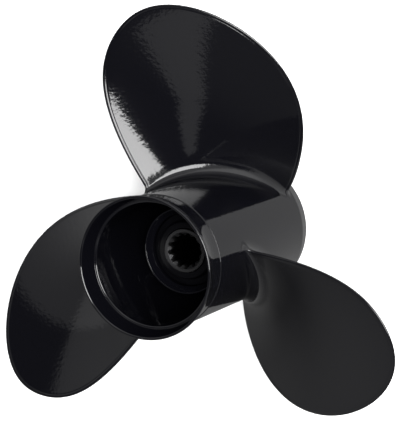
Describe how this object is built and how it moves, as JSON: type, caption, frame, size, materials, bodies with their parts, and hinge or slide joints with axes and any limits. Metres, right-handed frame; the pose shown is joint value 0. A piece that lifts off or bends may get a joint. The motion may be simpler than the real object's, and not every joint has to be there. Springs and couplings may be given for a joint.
{
  "type": "boat propeller",
  "caption": "Gloss black cast boat propeller with wide raked blades, a hollow hub that lets the exhaust through, and a splined sleeve in a rubber bush.",
  "frame": {"origin": "on the shaft axis, at the plane of the hub's front rim, on which the propeller stands", "axes": "+Z along the shaft axis towards the aft end where the exhaust leaves; seen from aft, +X to the right and +Y up, with one blade along +Y"},
  "size_m": [0.3222, 0.3028, 0.1824],
  "materials": {
    "gloss_black_paint": "gloss",
    "bush_rubber": "matte",
    "sleeve_metal": "satin"
  },
  "bodies": {
    "root": {"propeller_casting": "gloss_black_paint", "rubber_bush": "bush_rubber", "splined_sleeve": "sleeve_metal"}
  },
  "joints": []
}
